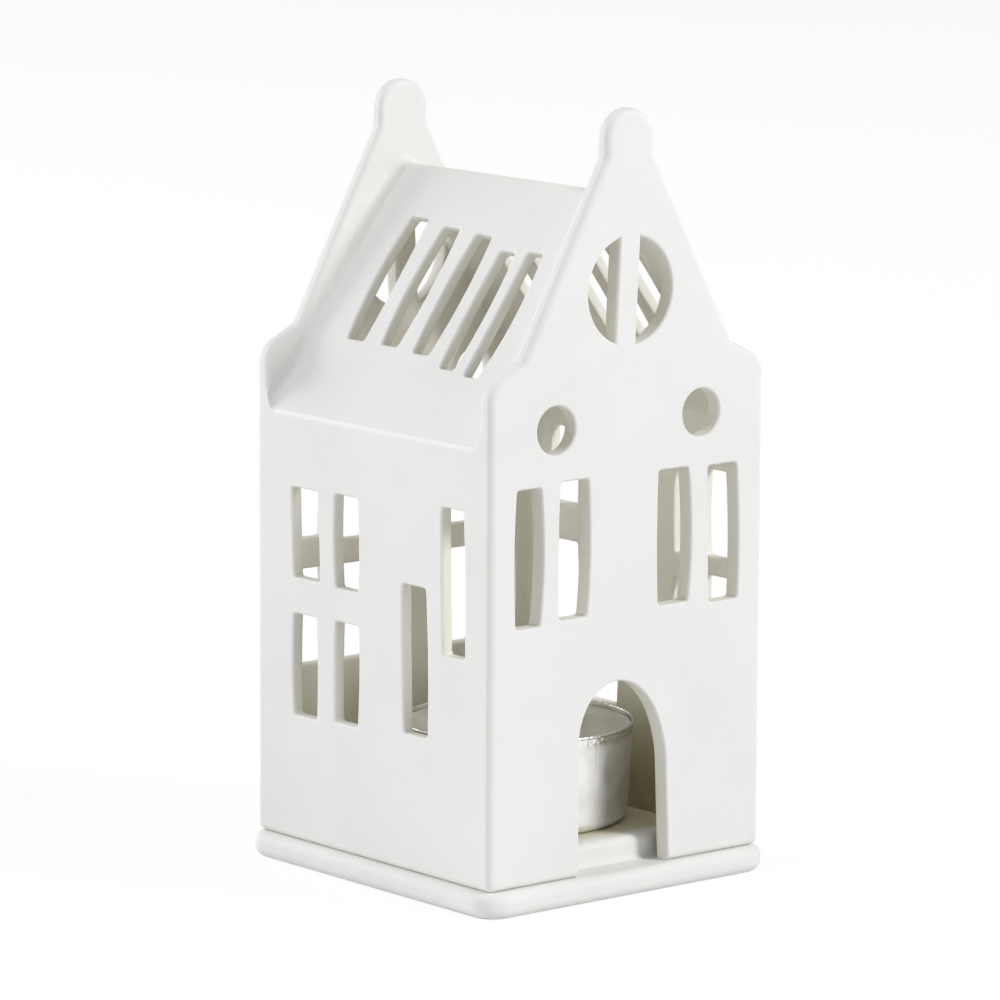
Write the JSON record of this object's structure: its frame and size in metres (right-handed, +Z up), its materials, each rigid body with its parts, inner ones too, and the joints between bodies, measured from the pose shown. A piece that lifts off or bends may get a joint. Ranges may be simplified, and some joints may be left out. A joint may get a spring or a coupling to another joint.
{
  "type": "tealight house",
  "caption": "Porcelain canal-house tealight holder: a hollow windowed shell that lifts off a rounded base plate, with a tealight in an aluminium cup.",
  "frame": {"origin": "middle of the base plate's underside", "axes": "+Z up, -Y out of the door facade, +X to the right as the facade is seen from in front"},
  "size_m": [0.0604, 0.0636, 0.1273],
  "materials": {
    "plate_porcelain": "matte bisque porcelain",
    "house_porcelain": "matte bisque porcelain",
    "cup_aluminium": "thin bright rolled foil",
    "wax": "satin paraffin wax",
    "wick": "waxed braided cotton",
    "sustainer_steel": "tinned"
  },
  "bodies": {
    "base": {"base_plate": "plate_porcelain"},
    "house": {"house_shell": "house_porcelain"},
    "tealight": {"tealight_cup": "cup_aluminium", "tealight_wax": "wax", "tealight_wick": "wick", "wick_sustainer": "sustainer_steel"}
  },
  "joints": [
    {"name": "house_lift", "type": "slide", "parent": "base", "child": "house", "axis": [0, 0, 1], "range_m": [0, 0.06]},
    {"name": "tealight_lift", "type": "slide", "parent": "base", "child": "tealight", "axis": [0, 0, 1], "range_m": [0, 0.02]}
  ]
}
